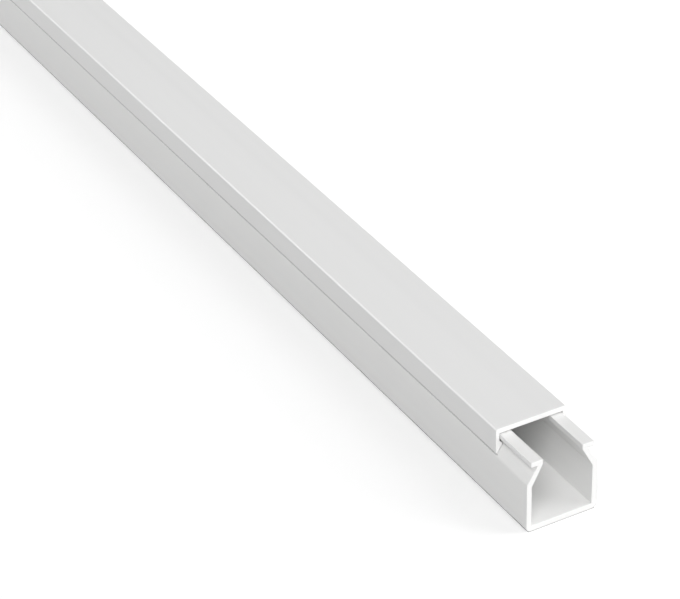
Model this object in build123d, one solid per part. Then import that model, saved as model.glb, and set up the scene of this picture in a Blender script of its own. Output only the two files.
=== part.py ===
from build123d import *
import os
from math import cos, radians, tan

# Two-piece snap raceway: an extruded channel and the cover strip that hooks over its flanges.
# Sizes are in millimetres. X runs across, Y along the length, Z up from the wall face.

# Stock length, and how far the lid is slid back from the front end
length = 400.0
lid_setback = 11.0

# Outside of the closed section
width = 16.0
height = 17.4

# Base channel: floor, side walls and leaning shoulders
floor_thickness = 1.2
wall_thickness = 1.1
foot_radius = 1.0
shoulder_rise = 3.8
outer_lean = 33.0
inner_lean = 28.0
shoulder_top_wall = 1.06
bend_radius = 1.2

# Flange along the top of each shoulder
flange_thickness = 1.1
flange_edge_radius = 0.15

# Lid: plate, side walls and the hook inside each wall
lid_plate = 1.1
lid_wall = 0.8
lid_corner_radius = 0.45
lid_edge_radius = 0.15
hook_reach = 0.7
hook_tip_radius = 0.1

# Clearances between lid and base
top_gap = 0.3
side_gap = 0.1
shoulder_gap = 0.2
hook_gap = 0.3


def mirrored_section(half_outline, rounded):
    """Face of a section symmetric about X = 0, from the right half's corners, with some corners rounded.

    half_outline runs from one point on the centre line to the other. rounded holds (corner, radius) pairs.
    """
    with BuildSketch() as section:
        with BuildLine():
            Polyline(*half_outline)
            mirror(about=Plane.YZ)
        make_face()
        for (x, z), radius in rounded:
            for corner in ((x, z), (-x, z)):
                fillet(section.vertices().sort_by_distance((*corner, 0))[0], radius)
    return section.sketch


def extruded(section, front, label):
    """Straight strip of the given section, cut square, running from Y = front for the stock length."""
    strip = extrude(Plane.XZ.offset(-(front + length)) * section, length)
    strip.label = label
    return strip


# Places that both sections share
half_width = width / 2
outer_slope = tan(radians(outer_lean))
inner_slope = tan(radians(inner_lean))
lid_underside = height - lid_plate
lid_inner_face = half_width - lid_wall

# Base channel: right half of its section, from the underside round to the floor inside
flange_top = lid_underside - top_gap
flange_underside = flange_top - flange_thickness
flange_reach = lid_inner_face - side_gap
outer_bend_height = flange_underside - shoulder_rise
shoulder_top = half_width - shoulder_rise * outer_slope
half_mouth = shoulder_top - shoulder_top_wall
inner_wall_face = half_width - wall_thickness
inner_bend_height = flange_underside - (inner_wall_face - half_mouth) / inner_slope

foot = (half_width, 0)
outer_bend = (half_width, outer_bend_height)
flange_lower_edge = (flange_reach, flange_underside)
flange_upper_edge = (flange_reach, flange_top)
flange_inner_edge = (half_mouth, flange_top)

base_section = mirrored_section(
    [
        (0, 0),
        foot,
        outer_bend,
        (shoulder_top, flange_underside),
        flange_lower_edge,
        flange_upper_edge,
        flange_inner_edge,
        (half_mouth, flange_underside),
        (inner_wall_face, inner_bend_height),
        (inner_wall_face, floor_thickness),
        (0, floor_thickness),
    ],
    [
        (foot, foot_radius),
        (outer_bend, bend_radius),
        (flange_lower_edge, flange_edge_radius),
        (flange_upper_edge, flange_edge_radius),
        (flange_inner_edge, flange_edge_radius),
    ],
)
base_channel = extruded(base_section, -length / 2, "base_channel")

# Snap lid: its lower face lies along the shoulder, from the outer edge in to the hook's tip
lid_edge_height = outer_bend_height + shoulder_gap / cos(radians(outer_lean)) / outer_slope
hook_tip_x = lid_inner_face - hook_reach
hook_tip_height = lid_edge_height + (half_width - hook_tip_x) / outer_slope

lid_corner = (half_width, height)
lid_edge = (half_width, lid_edge_height)
hook_tip = (hook_tip_x, hook_tip_height)

lid_section = mirrored_section(
    [
        (0, height),
        lid_corner,
        lid_edge,
        hook_tip,
        (lid_inner_face, flange_underside - hook_gap),
        (lid_inner_face, lid_underside),
        (0, lid_underside),
    ],
    [
        (lid_corner, lid_corner_radius),
        (lid_edge, lid_edge_radius),
        (hook_tip, hook_tip_radius),
    ],
)
snap_lid = extruded(lid_section, lid_setback - length / 2, "snap_lid")

os.makedirs("parts", exist_ok=True)
for piece in (base_channel, snap_lid):
    export_step(piece, f"parts/{piece.label}.step")
    print(piece.label, "volume", round(piece.volume, 1), "mm3")
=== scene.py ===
"""Looks of the two-piece cord cover raceway: swept strips of satin white PVC on a pale studio floor."""

import logging
import math
from dataclasses import dataclass
from enum import Enum

import bpy
from mathutils import Matrix, Vector


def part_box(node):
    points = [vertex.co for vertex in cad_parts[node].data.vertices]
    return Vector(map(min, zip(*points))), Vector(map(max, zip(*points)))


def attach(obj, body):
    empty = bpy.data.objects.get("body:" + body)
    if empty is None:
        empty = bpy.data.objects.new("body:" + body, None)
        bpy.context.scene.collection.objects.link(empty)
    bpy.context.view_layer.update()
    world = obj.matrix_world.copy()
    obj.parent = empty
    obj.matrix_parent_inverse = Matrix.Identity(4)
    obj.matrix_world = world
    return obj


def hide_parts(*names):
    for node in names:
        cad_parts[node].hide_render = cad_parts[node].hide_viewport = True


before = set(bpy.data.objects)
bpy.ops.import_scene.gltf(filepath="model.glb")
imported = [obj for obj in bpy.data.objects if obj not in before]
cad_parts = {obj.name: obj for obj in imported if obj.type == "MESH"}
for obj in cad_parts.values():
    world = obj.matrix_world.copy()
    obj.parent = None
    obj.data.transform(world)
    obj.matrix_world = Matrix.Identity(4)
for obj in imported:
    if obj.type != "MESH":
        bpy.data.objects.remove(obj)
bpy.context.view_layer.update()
LOG = logging.getLogger("raceway")

# Metres in a millimetre
MM = 0.001

# Width of the photograph in pixels, and of the camera's sensor in millimetres
IMAGE_WIDTH = 680
SENSOR_WIDTH = 36.0

WHITE = (1.0, 1.0, 1.0)
BLACK = (0.0, 0.0, 0.0)

# A corner of a section is its place across and up and the radius that rounds it
Corner = tuple[float, float, float]
Colour = tuple[float, float, float]
Node = bpy.types.Node
Socket = bpy.types.NodeSocket
Tree = bpy.types.NodeTree


class Strip(Enum):
    """The two extruded strips, by the name of the solid that each one stands for."""

    BASE = "base_channel"
    LID = "snap_lid"


class Body(Enum):
    """The moving bodies of the raceway."""

    CHANNEL = "channel"
    LID = "lid"


class LightUse(Enum):
    """What a light acts on: whether it shades surfaces, and whether they gleam with it."""

    FULL = (True, True)
    SHADING = (True, False)
    GLEAM = (False, True)


@dataclass(frozen=True)
class GapShade:
    """Shade on a surface where another piece stands close by.

    Attributes:
        colour: Colour deep in the gap.
        depth: Share of that colour there.
        reach: Distance within which the other piece counts, in metres.
        height: Height of the gap's middle, in metres.
        half_band: How far the shade goes up and down from there, in metres.
    """

    colour: Colour
    depth: float
    reach: float
    height: float
    half_band: float


@dataclass(frozen=True)
class PvcFinish:
    """Satin white PVC as it leaves the extruder.

    Attributes:
        name: Name of the material.
        pale: Colour of the lighter streaks.
        deep: Colour of the deeper streaks.
        sawn_and_lit: Colour of the cut ends; any lift over the strip's own colour is painted light.
        gloss: Roughness of the smoothest streaks.
        satin: Roughness of the dullest streaks.
        line_width: Width of the die lines, in metres.
        line_depth: Depth of the die lines, in metres.
        drift_length: Length over which the die lines change, in metres.
        saw_pitch: Step from one saw mark to the next in the distance from the blade's middle, in metres.
        saw_depth: Depth of the saw marks, in metres.
        seam: Shade of the seam, on the strip that carries it.
        ior: Index of refraction.
    """

    name: str
    pale: Colour
    deep: Colour
    sawn_and_lit: Colour
    gloss: float
    satin: float
    line_width: float = 0.45 * MM
    line_depth: float = 0.004 * MM
    drift_length: float = 90.0 * MM
    saw_pitch: float = 0.22 * MM
    saw_depth: float = 0.02 * MM
    seam: GapShade | None = None
    ior: float = 1.53


# On the shoulder under the lid's edge, and on the floor round the foot
SEAM_SHADE = GapShade(
    colour=(0.15, 0.15, 0.15), depth=0.70, reach=0.6 * MM, height=11.2 * MM, half_band=0.4 * MM
)
CONTACT_SHADE = GapShade(colour=BLACK, depth=0.60, reach=0.22 * MM, height=0.0, half_band=1.0 * MM)

BASE_PVC = PvcFinish(
    "base_pvc",
    pale=(0.803, 0.803, 0.796),
    deep=(0.783, 0.783, 0.777),
    sawn_and_lit=(0.785, 0.785, 0.778),
    gloss=0.34,
    satin=0.44,
    seam=SEAM_SHADE,
)
LID_PVC = PvcFinish(
    "lid_pvc",
    pale=(0.778, 0.778, 0.775),
    deep=(0.758, 0.758, 0.755),
    # Painted light: the lid's cut ends are lighter than the lid's own colour, so they show as bright as
    # the base's lit ends.
    sawn_and_lit=(0.835, 0.835, 0.828),
    gloss=0.30,
    satin=0.40,
)


def math_result(tree: Tree, operation: str, *values: float | Socket) -> Socket:
    """Adds a Math node.

    Args:
        tree: Tree that gets the node.
        operation: Name of the operation.
        values: What goes into it, in order, each a plain number or a socket.

    Returns:
        The socket of the result.
    """
    node = tree.nodes.new("ShaderNodeMath")
    node.operation = operation
    for socket, value in zip(node.inputs, values):
        if isinstance(value, Socket):
            tree.links.new(value, socket)
        else:
            socket.default_value = value
    return node.outputs[0]


def mixed_colour(tree: Tree, mask: Socket, below: Colour | Socket, above: Colour) -> Socket:
    """Lays one colour over another by a mask.

    Args:
        tree: Tree of the material.
        mask: Socket that gives the share of the upper colour.
        below: The lower colour, or the socket that gives it.
        above: The upper colour.

    Returns:
        The socket of the mixed colour.
    """
    mix = tree.nodes.new("ShaderNodeMix")
    mix.data_type = "RGBA"
    tree.links.new(mask, mix.inputs["Factor"])
    if isinstance(below, Socket):
        tree.links.new(below, mix.inputs["A"])
    else:
        mix.inputs["A"].default_value = (*below, 1.0)
    mix.inputs["B"].default_value = (*above, 1.0)
    return mix.outputs["Result"]


class ShaderLibrary:
    """Shader node groups that the finishes share, each built once."""

    # Noise of the die lines, and of the wider clouds that give the streaks of colour and gloss
    LINE_SCALE = 1.0
    LINE_DETAIL = 2.0
    CLOUD_SCALE = 0.12
    CLOUD_DETAIL = 3.0
    CLOUD_LOW = 0.3
    CLOUD_HIGH = 0.7

    # Middle of the saw's blade, in metres, and the noise of its marks
    BLADE_MIDDLE = (-0.09, 0.0, -0.06)
    MARK_SCALE = 1.0
    MARK_DETAIL = 3.0

    # Rays that look for a close piece, and the share that it stops where its shade is full
    SKY_SAMPLES = 5
    FULL_SHADE = 0.18

    def __init__(self) -> None:
        """Builds the groups."""
        self.die_lines: Tree = self._die_lines()
        self.saw_marks: Tree = self._saw_marks()
        self.gap_shade: Tree = self._gap_shade()

    @staticmethod
    def place(tree: Tree, group: Tree, values: dict[str, float]) -> Node:
        """Places a group in a material.

        Args:
            tree: Tree of the material.
            group: The group.
            values: Value of each of its inputs, by the input's name.

        Returns:
            The group's node.
        """
        node = tree.nodes.new("ShaderNodeGroup")
        node.node_tree = group
        for label, value in values.items():
            node.inputs[label].default_value = value
        return node

    def shaded(self, tree: Tree, colour: Socket, gap: GapShade) -> Socket:
        """Darkens a colour where another piece stands close by.

        Args:
            tree: Tree of the material.
            colour: Socket that gives the plain colour.
            gap: The shade.

        Returns:
            The socket of the shaded colour.
        """
        values = {"Reach": gap.reach, "Depth": gap.depth, "Height": gap.height, "Half Band": gap.half_band}
        shade = self.place(tree, self.gap_shade, values)
        return mixed_colour(tree, shade.outputs["Shade"], colour, gap.colour)

    @staticmethod
    def _group(name: str, inputs: list[str], outputs: list[str]) -> tuple[Tree, Node, Node]:
        """Makes a group with float sockets and nothing between them.

        Args:
            name: Name of the group.
            inputs: Names of the inputs.
            outputs: Names of the outputs.

        Returns:
            The new group, the node of its inputs and the node of its outputs.
        """
        group = bpy.data.node_groups.new(name, "ShaderNodeTree")
        for labels, way in ((inputs, "INPUT"), (outputs, "OUTPUT")):
            for label in labels:
                group.interface.new_socket(label, in_out=way, socket_type="NodeSocketFloat")
        return group, group.nodes.new("NodeGroupInput"), group.nodes.new("NodeGroupOutput")

    @staticmethod
    def _axes(tree: Tree) -> Node:
        """Reads the place on the piece.

        Args:
            tree: Tree that gets the nodes.

        Returns:
            A node whose outputs X, Y and Z are the Object coordinates.
        """
        coords = tree.nodes.new("ShaderNodeTexCoord")
        axes = tree.nodes.new("ShaderNodeSeparateXYZ")
        tree.links.new(coords.outputs["Object"], axes.inputs[0])
        return axes

    @staticmethod
    def _noise(tree: Tree, scale: float, detail: float) -> Node:
        """Adds a noise texture.

        Args:
            tree: Tree that gets the texture.
            scale: Scale of the noise.
            detail: Number of its finer layers.

        Returns:
            The texture's node.
        """
        noise = tree.nodes.new("ShaderNodeTexNoise")
        noise.inputs["Scale"].default_value = scale
        noise.inputs["Detail"].default_value = detail
        return noise

    def _die_lines(self) -> Tree:
        """Faint lines that the die leaves along the length, and wider streaks of colour and gloss.

        Returns:
            A group with the inputs Line Width and Drift Length and the outputs Height and Streak.
        """
        group, given, made = self._group("die_lines", ["Line Width", "Drift Length"], ["Height", "Streak"])
        nodes, links = group.nodes, group.links
        axes = self._axes(group)
        stretched = nodes.new("ShaderNodeCombineXYZ")
        for axis, unit in (("X", "Line Width"), ("Y", "Drift Length"), ("Z", "Line Width")):
            share = math_result(group, "DIVIDE", axes.outputs[axis], given.outputs[unit])
            links.new(share, stretched.inputs[axis])

        lines = self._noise(group, self.LINE_SCALE, self.LINE_DETAIL)
        clouds = self._noise(group, self.CLOUD_SCALE, self.CLOUD_DETAIL)
        for noise in (lines, clouds):
            links.new(stretched.outputs[0], noise.inputs["Vector"])
        streak = nodes.new("ShaderNodeMapRange")
        streak.inputs["From Min"].default_value = self.CLOUD_LOW
        streak.inputs["From Max"].default_value = self.CLOUD_HIGH
        links.new(clouds.outputs["Fac"], streak.inputs["Value"])
        links.new(lines.outputs["Fac"], made.inputs["Height"])
        links.new(streak.outputs["Result"], made.inputs["Streak"])
        return group

    def _saw_marks(self) -> Tree:
        """Fine curved marks that the saw leaves on a cut end.

        Returns:
            A group with the input Pitch and the output Height.
        """
        group, given, made = self._group("saw_marks", ["Pitch"], ["Height"])
        nodes, links = group.nodes, group.links
        coords = nodes.new("ShaderNodeTexCoord")
        from_blade = nodes.new("ShaderNodeVectorMath")
        from_blade.operation = "DISTANCE"
        from_blade.inputs[1].default_value = self.BLADE_MIDDLE
        links.new(coords.outputs["Object"], from_blade.inputs[0])
        count = math_result(group, "DIVIDE", from_blade.outputs["Value"], given.outputs["Pitch"])
        marks = self._noise(group, self.MARK_SCALE, self.MARK_DETAIL)
        marks.noise_dimensions = "1D"
        links.new(count, marks.inputs["W"])
        links.new(marks.outputs["Fac"], made.inputs["Height"])
        return group

    def _gap_shade(self) -> Tree:
        """Shade where another piece stands close by, such as in the seam under the lid's edge.

        Returns:
            A group with the inputs Reach, Depth, Height and Half Band and the output Shade, which is 0 on
            free surfaces and outside the band of heights.
        """
        group, given, made = self._group("gap_shade", ["Reach", "Depth", "Height", "Half Band"], ["Shade"])
        nodes, links = group.nodes, group.links
        alone = nodes.new("ShaderNodeAmbientOcclusion")
        alone.only_local = True
        together = nodes.new("ShaderNodeAmbientOcclusion")
        for open_sky in (alone, together):
            open_sky.samples = self.SKY_SAMPLES
            links.new(given.outputs["Reach"], open_sky.inputs["Distance"])
        stopped = math_result(group, "SUBTRACT", alone.outputs["AO"], together.outputs["AO"])
        shade = nodes.new("ShaderNodeMapRange")
        shade.inputs["From Max"].default_value = self.FULL_SHADE
        links.new(stopped, shade.inputs["Value"])
        links.new(given.outputs["Depth"], shade.inputs["To Max"])

        height = self._axes(group).outputs["Z"]
        band = math_result(group, "COMPARE", height, given.outputs["Height"], given.outputs["Half Band"])
        links.new(math_result(group, "MULTIPLY", shade.outputs["Result"], band), made.inputs["Shade"])
        return group


class PvcMaterial:
    """Turns a PVC finish into a material, with die lines along the sides and saw marks on the cut ends."""

    CUT_END = "cut_end"

    def __init__(self, finish: PvcFinish, library: ShaderLibrary) -> None:
        """Builds the material.

        Args:
            finish: The finish to build.
            library: The shared shader groups.
        """
        self.finish = finish
        self.material: bpy.types.Material = bpy.data.materials.new(finish.name)
        self.material.use_nodes = True
        self._wire(library)

    def _wire(self, library: ShaderLibrary) -> None:
        """Wires the nodes.

        Args:
            library: The shared shader groups.
        """
        finish = self.finish
        tree = self.material.node_tree
        nodes, links = tree.nodes, tree.links
        surface = nodes["Principled BSDF"]
        surface.inputs["IOR"].default_value = finish.ior

        drawing = {"Line Width": finish.line_width, "Drift Length": finish.drift_length}
        lines = library.place(tree, library.die_lines, drawing)
        saw = library.place(tree, library.saw_marks, {"Pitch": finish.saw_pitch})
        cut = nodes.new("ShaderNodeAttribute")
        cut.attribute_name = self.CUT_END

        colour = mixed_colour(tree, lines.outputs["Streak"], finish.deep, finish.pale)
        colour = mixed_colour(tree, cut.outputs["Fac"], colour, finish.sawn_and_lit)
        if finish.seam is not None:
            colour = library.shaded(tree, colour, finish.seam)
        links.new(colour, surface.inputs["Base Color"])

        rough = nodes.new("ShaderNodeMapRange")
        rough.inputs["To Min"].default_value = finish.gloss
        rough.inputs["To Max"].default_value = finish.satin
        links.new(lines.outputs["Streak"], rough.inputs["Value"])
        links.new(rough.outputs["Result"], surface.inputs["Roughness"])

        normal = nodes.new("ShaderNodeMix")
        normal.data_type = "VECTOR"
        links.new(cut.outputs["Fac"], normal.inputs["Factor"])
        links.new(self._bump(lines.outputs["Height"], finish.line_depth), normal.inputs["A"])
        links.new(self._bump(saw.outputs["Height"], finish.saw_depth), normal.inputs["B"])
        links.new(normal.outputs["Result"], surface.inputs["Normal"])

    def _bump(self, height: Socket, depth: float) -> Socket:
        """Adds a Bump node.

        Args:
            height: Socket that gives the height, from 0 to 1.
            depth: Depth of the relief, in metres.

        Returns:
            The socket of the bumped normal.
        """
        tree = self.material.node_tree
        bump = tree.nodes.new("ShaderNodeBump")
        bump.inputs["Distance"].default_value = depth
        tree.links.new(height, bump.inputs["Height"])
        return bump.outputs["Normal"]


class SweptStrip:
    """Geometry Nodes tree that rounds a section's corners and sweeps it along a straight length."""

    # Attributes that hold each corner's radius, and the weight of the bevel that eases the cut ends
    RADIUS = "corner_radius"
    EASING = "bevel_weight_edge"

    # Steps round each rounded corner, and points along the length
    CORNER_STEPS = 6
    LENGTH_POINTS = 41

    # A face is a cut end where its normal's part along the length is more than this
    CUT_NORMAL = 0.9

    # An edge borders a cut end where the mean of its faces' marks is more than this
    BORDER_SHARE = 0.25

    # Other edges with a sharper angle than this stay crisp
    CRISP_ANGLE = math.radians(26.0)

    # Width and steps of the bevel on the cut ends
    EASED_EDGE = 0.08 * MM
    EASED_STEPS = 2

    def __init__(self) -> None:
        """Builds the tree."""
        self.tree: Tree = bpy.data.node_groups.new("swept_strip", "GeometryNodeTree")
        self.sockets: dict[str, str] = {}
        self._interface()
        self._wire()

    def _interface(self) -> None:
        """Gives the tree its named inputs and its output."""
        for name, kind in (
            ("Section", "NodeSocketGeometry"),
            ("Front", "NodeSocketFloat"),
            ("Length", "NodeSocketFloat"),
            ("Corner Steps", "NodeSocketInt"),
            ("Length Points", "NodeSocketInt"),
            ("Finish", "NodeSocketMaterial"),
        ):
            socket = self.tree.interface.new_socket(name, in_out="INPUT", socket_type=kind)
            self.sockets[name] = socket.identifier
        self.tree.interface.new_socket("Strip", in_out="OUTPUT", socket_type="NodeSocketGeometry")

    def _wire(self) -> None:
        """Wires the tree: rounds the section, sweeps it, marks its ends, sets its edges and dresses it."""
        nodes, links = self.tree.nodes, self.tree.links
        given = nodes.new("NodeGroupInput")
        made = nodes.new("NodeGroupOutput")

        swept = nodes.new("GeometryNodeCurveToMesh")
        swept.inputs["Fill Caps"].default_value = True
        links.new(self._path(given), swept.inputs["Curve"])
        links.new(self._rounded_section(given), swept.inputs["Profile Curve"])

        marked = self._stored(swept.outputs["Mesh"], "FACE", PvcMaterial.CUT_END, self._is_cut_end())
        cut_share = self._named(PvcMaterial.CUT_END)
        at_border = math_result(self.tree, "GREATER_THAN", cut_share, self.BORDER_SHARE)
        eased = self._stored(marked, "EDGE", self.EASING, at_border)
        shaded = self._shaded(eased, at_border)

        whole = nodes.new("GeometryNodeRealizeInstances")
        links.new(shaded, whole.inputs["Geometry"])
        dressed = nodes.new("GeometryNodeSetMaterial")
        links.new(whole.outputs["Geometry"], dressed.inputs["Geometry"])
        links.new(given.outputs["Finish"], dressed.inputs["Material"])
        links.new(dressed.outputs["Geometry"], made.inputs["Strip"])

    def _named(self, name: str) -> Socket:
        """Reads a named attribute.

        Args:
            name: Name of the attribute.

        Returns:
            The socket of its value.
        """
        node = self.tree.nodes.new("GeometryNodeInputNamedAttribute")
        node.data_type = "FLOAT"
        node.inputs["Name"].default_value = name
        return node.outputs["Attribute"]

    def _stored(self, mesh: Socket, domain: str, name: str, value: Socket) -> Socket:
        """Stores a value on the mesh as a named attribute.

        Args:
            mesh: Socket that gives the mesh.
            domain: What the attribute is kept on.
            name: Name of the attribute.
            value: Socket that gives the value.

        Returns:
            The socket of the mesh with the attribute.
        """
        node = self.tree.nodes.new("GeometryNodeStoreNamedAttribute")
        node.data_type = "FLOAT"
        node.domain = domain
        node.inputs["Name"].default_value = name
        self.tree.links.new(mesh, node.inputs["Geometry"])
        self.tree.links.new(value, node.inputs["Value"])
        return node.outputs["Geometry"]

    def _rounded_section(self, given: Node) -> Socket:
        """Turns the section's outline into a curve with rounded corners.

        Args:
            given: Node of the tree's inputs.

        Returns:
            The socket of the curve.
        """
        nodes, links = self.tree.nodes, self.tree.links
        outline = nodes.new("GeometryNodeMeshToCurve")
        links.new(given.outputs["Section"], outline.inputs["Mesh"])
        rounded = nodes.new("GeometryNodeFilletCurve")
        rounded.mode = "POLY"
        rounded.inputs["Limit Radius"].default_value = True
        links.new(outline.outputs["Curve"], rounded.inputs["Curve"])
        links.new(self._named(self.RADIUS), rounded.inputs["Radius"])
        links.new(given.outputs["Corner Steps"], rounded.inputs["Count"])
        return rounded.outputs["Curve"]

    def _path(self, given: Node) -> Socket:
        """Draws the straight line that the section follows, with its normal held upright.

        Args:
            given: Node of the tree's inputs.

        Returns:
            The socket of the line.
        """
        nodes, links = self.tree.nodes, self.tree.links
        back = math_result(self.tree, "ADD", given.outputs["Front"], given.outputs["Length"])
        line = nodes.new("GeometryNodeCurvePrimitiveLine")
        for place, end in ((given.outputs["Front"], "Start"), (back, "End")):
            point = nodes.new("ShaderNodeCombineXYZ")
            links.new(place, point.inputs["Y"])
            links.new(point.outputs[0], line.inputs[end])
        path = nodes.new("GeometryNodeResampleCurve")
        links.new(line.outputs["Curve"], path.inputs["Curve"])
        links.new(given.outputs["Length Points"], path.inputs["Count"])
        upright = nodes.new("GeometryNodeSetCurveNormal")
        upright.mode = "Z_UP"
        links.new(path.outputs["Curve"], upright.inputs["Curve"])
        return upright.outputs["Curve"]

    def _is_cut_end(self) -> Socket:
        """Tells the faces of the cut ends from the others by their normals.

        Returns:
            A socket that gives 1 on the cut ends and 0 elsewhere.
        """
        facing = self.tree.nodes.new("GeometryNodeInputNormal")
        axes = self.tree.nodes.new("ShaderNodeSeparateXYZ")
        self.tree.links.new(facing.outputs["Normal"], axes.inputs[0])
        along = math_result(self.tree, "ABSOLUTE", axes.outputs["Y"])
        return math_result(self.tree, "GREATER_THAN", along, self.CUT_NORMAL)

    def _shaded(self, mesh: Socket, at_border: Socket) -> Socket:
        """Shades the faces smooth and keeps the section's own corners crisp.

        Args:
            mesh: Socket that gives the mesh.
            at_border: Socket that gives 1 on the edges of the cut ends, which the bevel rounds.

        Returns:
            The socket of the shaded mesh.
        """
        nodes, links = self.tree.nodes, self.tree.links
        smooth = nodes.new("GeometryNodeSetShadeSmooth")
        smooth.domain = "FACE"
        links.new(mesh, smooth.inputs["Geometry"])
        angle = nodes.new("GeometryNodeInputMeshEdgeAngle")
        is_corner = nodes.new("FunctionNodeCompare")
        is_corner.operation = "GREATER_THAN"
        is_corner.inputs["B"].default_value = self.CRISP_ANGLE
        links.new(angle.outputs["Unsigned Angle"], is_corner.inputs["A"])
        stays = nodes.new("FunctionNodeBooleanMath")
        stays.operation = "NIMPLY"
        links.new(is_corner.outputs["Result"], stays.inputs[0])
        links.new(at_border, stays.inputs[1])
        crisp = nodes.new("GeometryNodeSetShadeSmooth")
        crisp.domain = "EDGE"
        crisp.inputs["Shade Smooth"].default_value = False
        links.new(smooth.outputs["Geometry"], crisp.inputs["Geometry"])
        links.new(stays.outputs[0], crisp.inputs["Selection"])
        return crisp.outputs["Geometry"]

    def sweep(self, name: str, section: list[Corner], front: float, length: float,
              finish: bpy.types.Material) -> bpy.types.Object:
        """Sweeps a section and turns the result into a plain mesh object.

        Args:
            name: Name of the new object.
            section: Corners of the whole section, in order round it, in metres.
            front: Place of the front end along Y.
            length: Length of the strip.
            finish: Material of the strip.

        Returns:
            The strip, at the origin, with its place in its mesh.
        """
        outline = bpy.data.meshes.new(name + "_section")
        count = len(section)
        edges = [(i, (i + 1) % count) for i in range(count)]
        outline.from_pydata([(across, -up, 0.0) for across, up, _ in reversed(section)], edges, [])
        radii = outline.attributes.new(self.RADIUS, "FLOAT", "POINT")
        radii.data.foreach_set("value", [radius for _, _, radius in reversed(section)])

        holder = bpy.data.objects.new(name + "_section", outline)
        bpy.context.scene.collection.objects.link(holder)
        modifier = holder.modifiers.new("sweep", "NODES")
        modifier.node_group = self.tree
        for label, value in (
            ("Front", front),
            ("Length", length),
            ("Corner Steps", self.CORNER_STEPS),
            ("Length Points", self.LENGTH_POINTS),
            ("Finish", finish),
        ):
            modifier[self.sockets[label]] = value
        eased = holder.modifiers.new("eased_ends", "BEVEL")
        eased.limit_method = "WEIGHT"
        eased.width = self.EASED_EDGE
        eased.segments = self.EASED_STEPS
        eased.use_clamp_overlap = False
        flats = holder.modifiers.new("flats", "WEIGHTED_NORMAL")
        flats.keep_sharp = True

        graph = bpy.context.evaluated_depsgraph_get()
        mesh = bpy.data.meshes.new_from_object(holder.evaluated_get(graph))
        mesh.name = name
        holder.modifiers.clear()
        bpy.data.objects.remove(holder)
        bpy.data.meshes.remove(outline)
        piece = bpy.data.objects.new(name, mesh)
        bpy.context.scene.collection.objects.link(piece)
        return piece


def both_sides(half: list[Corner]) -> list[Corner]:
    """Mirrors a half section.

    Args:
        half: Corners of the right half, from the centre line round to the centre line, both ends left out.

    Returns:
        Corners of the whole section, in order round it.
    """
    return half + [(-across, up, radius) for across, up, radius in reversed(half)]


@dataclass
class SectionSizes:
    """Sizes of the closed section, in metres and radians, as the solids have them."""

    half_width: float
    height: float

    # Base channel: floor, side walls, leaning shoulders and flanges
    floor_thickness: float = 1.2 * MM
    wall_thickness: float = 1.1 * MM
    foot_radius: float = 1.0 * MM
    shoulder_rise: float = 3.8 * MM
    outer_lean: float = math.radians(33.0)
    inner_lean: float = math.radians(28.0)
    shoulder_top_wall: float = 1.06 * MM
    bend_radius: float = 1.2 * MM
    flange_thickness: float = 1.1 * MM
    flange_edge_radius: float = 0.15 * MM

    # Lid: plate, side walls and the hook inside each wall
    lid_plate: float = 1.1 * MM
    lid_wall: float = 0.8 * MM
    lid_corner_radius: float = 0.45 * MM
    lid_edge_radius: float = 0.15 * MM
    hook_reach: float = 0.7 * MM
    hook_tip_radius: float = 0.1 * MM

    # Clearances between lid and base
    side_gap: float = 0.1 * MM
    shoulder_gap: float = 0.2 * MM
    hook_gap: float = 0.3 * MM

    @property
    def lid_inner_face(self) -> float:
        """Inner face of the lid's side wall, across from the centre."""
        return self.half_width - self.lid_wall

    @property
    def outer_slope(self) -> float:
        """How far the shoulder's outer face comes in for each unit that it rises."""
        return math.tan(self.outer_lean)


@dataclass
class BaseChannel:
    """The channel: floor, walls, leaning shoulders and flanges.

    Attributes:
        sizes: Sizes of the closed section.
        flange_top: Height of the flanges' top faces, in metres.
        front: Place of the front end along Y, in metres.
        length: Length of the strip, in metres.
    """

    sizes: SectionSizes
    flange_top: float
    front: float
    length: float

    @property
    def flange_underside(self) -> float:
        """Height of the flange's underside."""
        return self.flange_top - self.sizes.flange_thickness

    @property
    def bend_height(self) -> float:
        """Height at which the outer face starts to lean in."""
        return self.flange_underside - self.sizes.shoulder_rise

    def section(self) -> list[Corner]:
        """Lists the corners of the channel's section.

        Returns:
            The corners of the whole section, in order round it.
        """
        sizes = self.sizes
        shoulder_top = sizes.half_width - sizes.shoulder_rise * sizes.outer_slope
        half_mouth = shoulder_top - sizes.shoulder_top_wall
        inner_face = sizes.half_width - sizes.wall_thickness
        inner_bend = self.flange_underside - (inner_face - half_mouth) / math.tan(sizes.inner_lean)
        flange_reach = sizes.lid_inner_face - sizes.side_gap
        return both_sides([
            (sizes.half_width, 0.0, sizes.foot_radius),
            (sizes.half_width, self.bend_height, sizes.bend_radius),
            (shoulder_top, self.flange_underside, 0.0),
            (flange_reach, self.flange_underside, sizes.flange_edge_radius),
            (flange_reach, self.flange_top, sizes.flange_edge_radius),
            (half_mouth, self.flange_top, sizes.flange_edge_radius),
            (half_mouth, self.flange_underside, 0.0),
            (inner_face, inner_bend, 0.0),
            (inner_face, sizes.floor_thickness, 0.0),
        ])

    def build(self, sweeper: SweptStrip, finish: PvcMaterial) -> bpy.types.Object:
        """Builds and places the channel.

        Args:
            sweeper: The tree that sweeps sections.
            finish: The channel's finish.

        Returns:
            The finished piece.
        """
        piece = sweeper.sweep("base_strip", self.section(), self.front, self.length, finish.material)
        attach(piece, Body.CHANNEL.value)
        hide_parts(Strip.BASE.value)
        return piece


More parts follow.
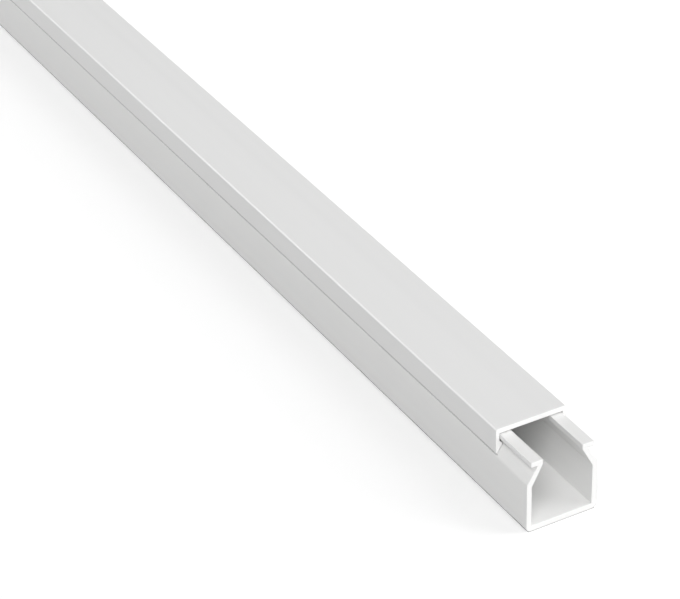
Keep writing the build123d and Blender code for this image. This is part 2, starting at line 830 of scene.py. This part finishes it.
@dataclass
class SnapLid:
    """The cover strip: plate, side walls and the hook inside each wall.

    Attributes:
        sizes: Sizes of the closed section.
        flange_underside: Height of the undersides of the base's flanges, in metres.
        bend_height: Height at which the base's outer faces start to lean in, in metres.
        front: Place of the front end along Y, in metres.
        length: Length of the strip, in metres.
    """

    sizes: SectionSizes
    flange_underside: float
    bend_height: float
    front: float
    length: float

    def section(self) -> list[Corner]:
        """Lists the corners of the lid's section.

        Returns:
            The corners of the whole section, in order round it.
        """
        sizes = self.sizes
        underside = sizes.height - sizes.lid_plate
        edge = self.bend_height + sizes.shoulder_gap / math.cos(sizes.outer_lean) / sizes.outer_slope
        hook_tip = sizes.lid_inner_face - sizes.hook_reach
        hook_height = edge + (sizes.half_width - hook_tip) / sizes.outer_slope
        return both_sides([
            (sizes.lid_inner_face, underside, 0.0),
            (sizes.lid_inner_face, self.flange_underside - sizes.hook_gap, 0.0),
            (hook_tip, hook_height, sizes.hook_tip_radius),
            (sizes.half_width, edge, sizes.lid_edge_radius),
            (sizes.half_width, sizes.height, sizes.lid_corner_radius),
        ])

    def build(self, sweeper: SweptStrip, finish: PvcMaterial) -> bpy.types.Object:
        """Builds and places the lid.

        Args:
            sweeper: The tree that sweeps sections.
            finish: The lid's finish.

        Returns:
            The finished piece.
        """
        piece = sweeper.sweep("lid_strip", self.section(), self.front, self.length, finish.material)
        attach(piece, Body.LID.value)
        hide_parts(Strip.LID.value)
        return piece


@dataclass(frozen=True)
class FarLight:
    """A soft light, so far off that it falls evenly along the whole length.

    Attributes:
        name: Name of the light.
        azimuth: Where it stands, from straight in front round to the right, in degrees.
        elevation: How high it stands, in degrees.
        spread: How wide it looks from the part, in degrees.
        strength: Its light on a surface that faces it, in watts per square metre.
        use: What it acts on.
    """

    name: str
    azimuth: float
    elevation: float
    spread: float
    strength: float
    use: LightUse = LightUse.FULL

    def build(self) -> bpy.types.Object:
        """Places the light.

        Returns:
            The light.
        """
        data = bpy.data.lights.new(self.name, "SUN")
        data.angle = math.radians(self.spread)
        data.energy = self.strength
        light = bpy.data.objects.new(self.name, data)
        bpy.context.scene.collection.objects.link(light)
        azimuth, elevation = math.radians(self.azimuth), math.radians(self.elevation)
        level = math.cos(elevation)
        toward = Vector((math.sin(azimuth) * level, -math.cos(azimuth) * level, math.sin(elevation)))
        light.rotation_euler = toward.to_track_quat("Z", "Y").to_euler()
        light.visible_diffuse, light.visible_glossy = self.use.value
        return light


STUDIO_LIGHTS = (
    FarLight(
        "view_light", azimuth=-28.0, elevation=32.0, spread=30.0, strength=0.64, use=LightUse.SHADING
    ),
    FarLight("left_light", azimuth=-42.0, elevation=52.0, spread=25.0, strength=1.03),
    FarLight(
        "front_light", azimuth=0.0, elevation=30.0, spread=30.0, strength=0.67, use=LightUse.SHADING
    ),
    FarLight(
        "low_front_light", azimuth=-8.0, elevation=14.0, spread=20.0, strength=0.36, use=LightUse.SHADING
    ),
    FarLight("right_light", azimuth=75.0, elevation=40.0, spread=45.0, strength=0.53),
    FarLight("high_right_light", azimuth=85.0, elevation=63.0, spread=30.0, strength=0.38),
    FarLight("low_right_light", azimuth=55.0, elevation=20.0, spread=30.0, strength=0.60),
    FarLight("edge_light", azimuth=215.0, elevation=24.0, spread=10.0, strength=1.8, use=LightUse.GLEAM),
)


@dataclass
class PhotoCamera:
    """A camera that looks at the front end from the photograph's angle.

    Attributes:
        azimuth: Compass of the view, clockwise from straight along the length, in degrees.
        elevation: How far the camera looks down, in degrees.
        roll: How far the camera is turned clockwise about its view, in degrees.
        focal_pixels: Focal length in pixels of the photograph.
        place: Where the camera stands from the base's front lower left corner, in metres.
        nearest: Distance at which its view starts, in metres.
    """

    azimuth: float = 28.252
    elevation: float = 32.270
    roll: float = 1.874
    focal_pixels: float = 2561.8
    place: tuple[float, float, float] = (-0.21441, -0.32687, 0.29999)
    nearest: float = 0.01

    def build(self, corner: Vector) -> bpy.types.Object:
        """Places the camera and makes it the scene's own.

        Args:
            corner: The base's front lower left corner.

        Returns:
            The camera.
        """
        data = bpy.data.cameras.new("photo_camera")
        data.sensor_width = SENSOR_WIDTH
        data.lens = self.focal_pixels * SENSOR_WIDTH / IMAGE_WIDTH
        data.clip_start = self.nearest
        camera = bpy.data.objects.new("photo_camera", data)
        bpy.context.scene.collection.objects.link(camera)
        camera.matrix_world = Matrix.Translation(corner + Vector(self.place)) @ self._turn().to_4x4()
        bpy.context.scene.camera = camera
        return camera

    def _turn(self) -> Matrix:
        """Works out how the camera is turned.

        Returns:
            The rotation, whose columns are the camera's right, up and backward directions.
        """
        azimuth, elevation, roll = (math.radians(x) for x in (self.azimuth, self.elevation, self.roll))
        across = math.cos(elevation)
        forward = Vector((math.sin(azimuth) * across, math.cos(azimuth) * across, -math.sin(elevation)))
        level = Vector((math.cos(azimuth), -math.sin(azimuth), 0.0))
        down = forward.cross(level)
        right = level * math.cos(roll) + down * math.sin(roll)
        up = level * math.sin(roll) - down * math.cos(roll)
        return Matrix((right, up, -forward)).transposed()


@dataclass
class Studio:
    """Pale floor, even sky and soft lights.

    Attributes:
        floor_side: Side of the floor, in metres.
        floor_colour: Colour that the floor shows.
        floor_bounce: Colour of the light that it throws back onto the part.
        floor_roughness: Roughness of its paint.
        floor_shine: Specular level of its paint.
        floor_glow: Light that it gives off by itself.
        contact: Shade on the floor round the part's foot.
        sky_strength: Strength of the white sky.
        lights: The lights.
    """

    floor_side: float = 24.0
    floor_colour: Colour = (0.97, 0.97, 0.97)
    floor_bounce: Colour = (0.66, 0.66, 0.66)
    floor_roughness: float = 0.9
    floor_shine: float = 0.1
    floor_glow: float = 0.06
    contact: GapShade = CONTACT_SHADE
    sky_strength: float = 0.25
    lights: tuple[FarLight, ...] = STUDIO_LIGHTS

    def build(self, library: ShaderLibrary) -> None:
        """Builds the floor, the sky and the lights.

        Args:
            library: The shared shader groups.
        """
        self._floor(self._floor_paint(library))
        world = bpy.data.worlds.new("studio_sky")
        world.use_nodes = True
        sky = world.node_tree.nodes["Background"]
        sky.inputs["Color"].default_value = (*WHITE, 1.0)
        sky.inputs["Strength"].default_value = self.sky_strength
        bpy.context.scene.world = world
        bpy.context.scene.view_settings.view_transform = "Standard"
        for light in self.lights:
            light.build()

    def _floor_paint(self, library: ShaderLibrary) -> bpy.types.Material:
        """Mixes the floor's paint.

        Args:
            library: The shared shader groups.

        Returns:
            The material.
        """
        paint = bpy.data.materials.new("floor_paint")
        paint.use_nodes = True
        tree = paint.node_tree
        surface = tree.nodes["Principled BSDF"]
        ray = tree.nodes.new("ShaderNodeLightPath")
        colour = mixed_colour(tree, ray.outputs["Is Diffuse Ray"], self.floor_colour, self.floor_bounce)
        tree.links.new(library.shaded(tree, colour, self.contact), surface.inputs["Base Color"])
        surface.inputs["Roughness"].default_value = self.floor_roughness
        surface.inputs["Specular IOR Level"].default_value = self.floor_shine
        surface.inputs["Emission Color"].default_value = (*WHITE, 1.0)
        surface.inputs["Emission Strength"].default_value = self.floor_glow
        return paint

    def _floor(self, paint: bpy.types.Material) -> None:
        """Lays the floor at the height of the wall face.

        Args:
            paint: The floor's material.
        """
        half = self.floor_side / 2
        corners = [(-half, -half, 0.0), (half, -half, 0.0), (half, half, 0.0), (-half, half, 0.0)]
        mesh = bpy.data.meshes.new("floor")
        mesh.from_pydata(corners, [], [(0, 1, 2, 3)])
        mesh.materials.append(paint)
        floor = bpy.data.objects.new("floor", mesh)
        bpy.context.scene.collection.objects.link(floor)


def main() -> None:
    """Builds the raceway, the studio and the camera."""
    logging.basicConfig(level=logging.INFO, format="%(message)s")
    base_low, base_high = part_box(Strip.BASE.value)
    lid_low, lid_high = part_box(Strip.LID.value)
    sizes = SectionSizes(half_width=base_high.x, height=lid_high.z)
    library = ShaderLibrary()
    sweeper = SweptStrip()

    channel = BaseChannel(
        sizes, flange_top=base_high.z, front=base_low.y, length=base_high.y - base_low.y
    )
    lid = SnapLid(
        sizes,
        flange_underside=channel.flange_underside,
        bend_height=channel.bend_height,
        front=lid_low.y,
        length=lid_high.y - lid_low.y,
    )
    for piece in (
        channel.build(sweeper, PvcMaterial(BASE_PVC, library)),
        lid.build(sweeper, PvcMaterial(LID_PVC, library)),
    ):
        LOG.info("%s: %d faces", piece.name, len(piece.data.polygons))

    corner = Vector((base_low.x, base_low.y, base_low.z))
    Studio().build(library)
    PhotoCamera().build(corner)


if __name__ == "__main__":
    main()
